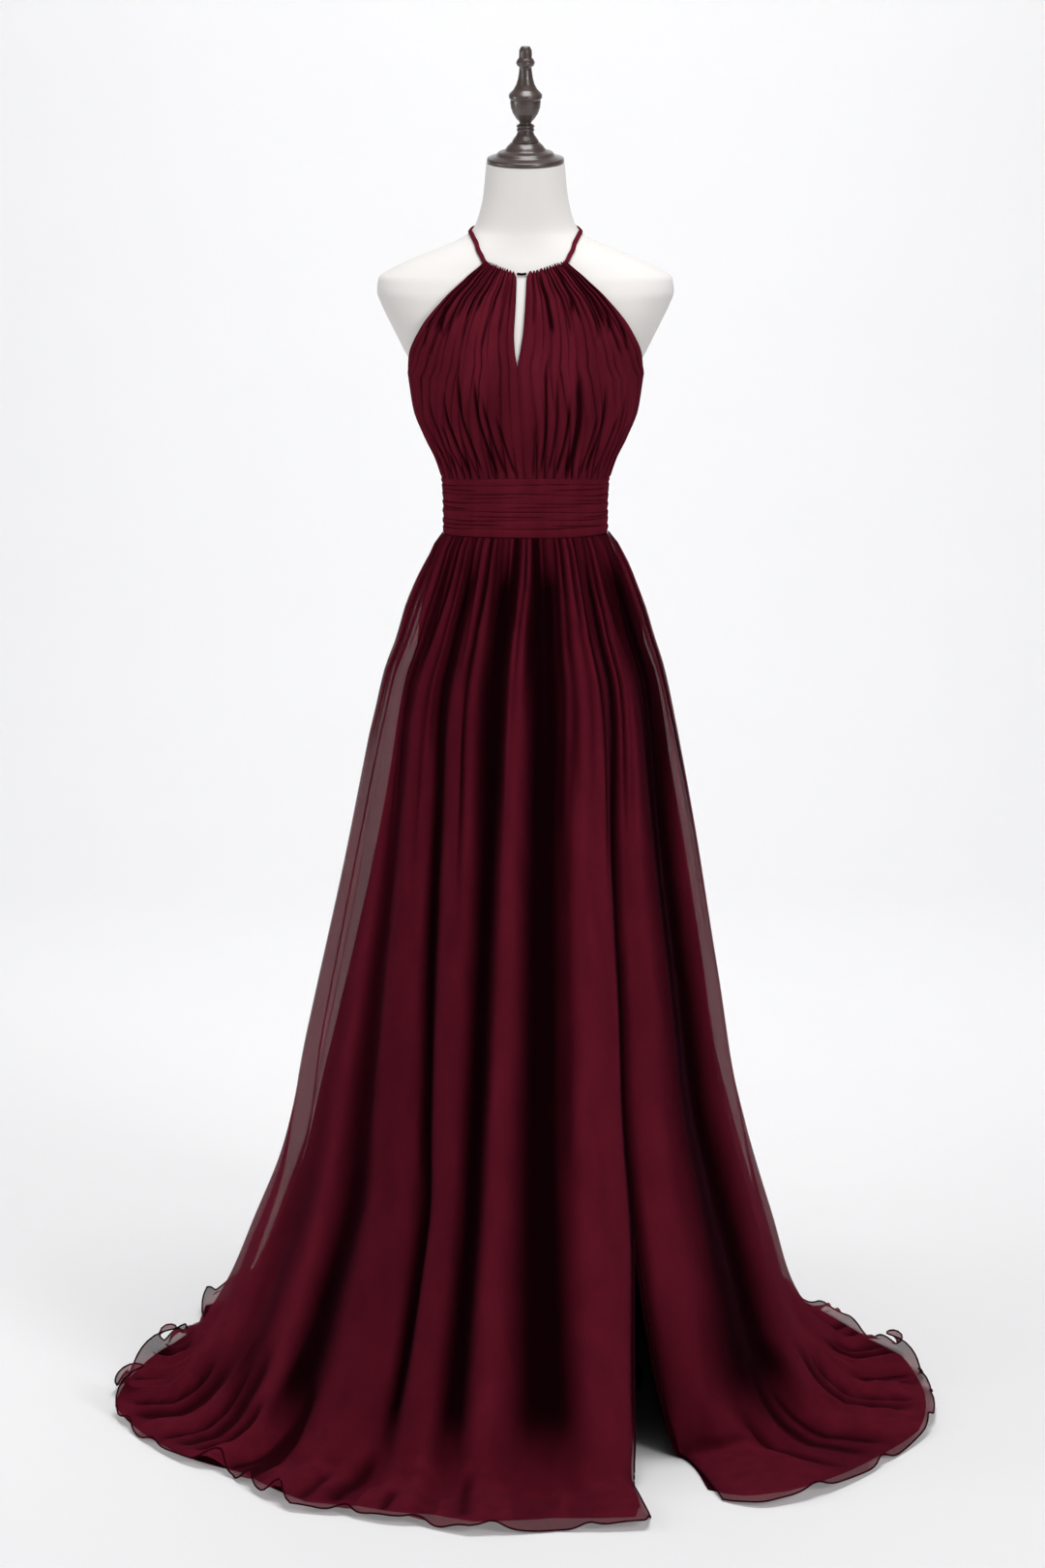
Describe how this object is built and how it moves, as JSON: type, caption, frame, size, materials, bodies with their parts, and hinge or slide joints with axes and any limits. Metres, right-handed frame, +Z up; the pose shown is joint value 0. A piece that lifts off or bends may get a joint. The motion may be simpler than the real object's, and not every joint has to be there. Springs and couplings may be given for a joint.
{
  "type": "a-line halter dress on a dress form",
  "caption": "Floor-length halter dress with a gathered bodice, pleated waistband, slit skirt and sweep train, standing on a limbless dress form.",
  "frame": {"origin": "on the floor, at the middle of the stand's flat underside, below the dress form", "axes": "+Z up along the stand's pole, -Y towards the dress's front, +X to the viewer's right when facing the front"},
  "size_m": [1.0268, 1.3114, 1.6706],
  "materials": {
    "chiffon": "matte burgundy chiffon, gathered and pleated over its own layers",
    "sheer_chiffon": "soft burgundy chiffon, slightly sheer, with a narrow rolled hem",
    "lining": "smooth opaque burgundy lining satin",
    "form_jersey": "fine off-white jersey stretched over the form",
    "turned_wood": "dark stained, satin varnished turned wood",
    "stand_steel": "brushed steel"
  },
  "bodies": {
    "root": {"form_torso": "form_jersey", "neck_cap": "turned_wood", "finial": "turned_wood", "stand_base": "stand_steel", "stand_pole": "stand_steel", "bodice_front_left": "chiffon", "bodice_front_right": "chiffon", "bodice_back_left": "chiffon", "bodice_back_right": "chiffon", "keyhole_cord": "chiffon", "strap_left": "chiffon", "strap_right": "chiffon", "waistband_front": "chiffon", "waistband_back_left": "chiffon", "waistband_back_right": "chiffon", "skirt_front": "sheer_chiffon", "skirt_front_side": "sheer_chiffon", "skirt_back_left": "sheer_chiffon", "skirt_back_right": "sheer_chiffon", "lining_front": "lining", "lining_front_side": "lining", "lining_back_left": "lining", "lining_back_right": "lining"}
  },
  "joints": []
}
